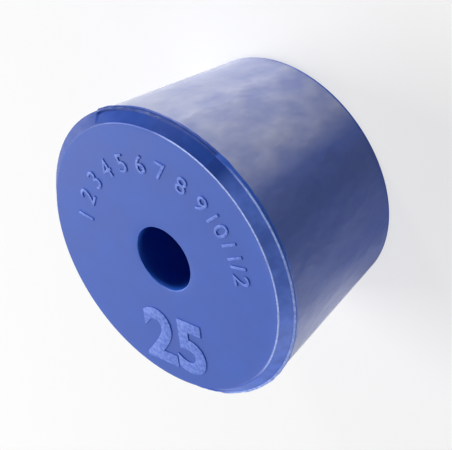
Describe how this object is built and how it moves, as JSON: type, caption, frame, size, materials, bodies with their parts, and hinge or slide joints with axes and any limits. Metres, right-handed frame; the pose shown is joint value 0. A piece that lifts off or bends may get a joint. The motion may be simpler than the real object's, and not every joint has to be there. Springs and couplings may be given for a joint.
{
  "type": "rubber stopper",
  "caption": "Tapered solid rubber stopper with a central through hole, a thin trimmed lip and a bevelled edge round its large face.",
  "frame": {"origin": "centre of the small end, on the surface that the stopper stands on", "axes": "+Z along the axis, from the small end to the large face"},
  "size_m": [0.041, 0.041, 0.0254],
  "materials": {
    "rubber": "satin moulded"
  },
  "bodies": {
    "root": {"stopper": "rubber"}
  },
  "joints": []
}
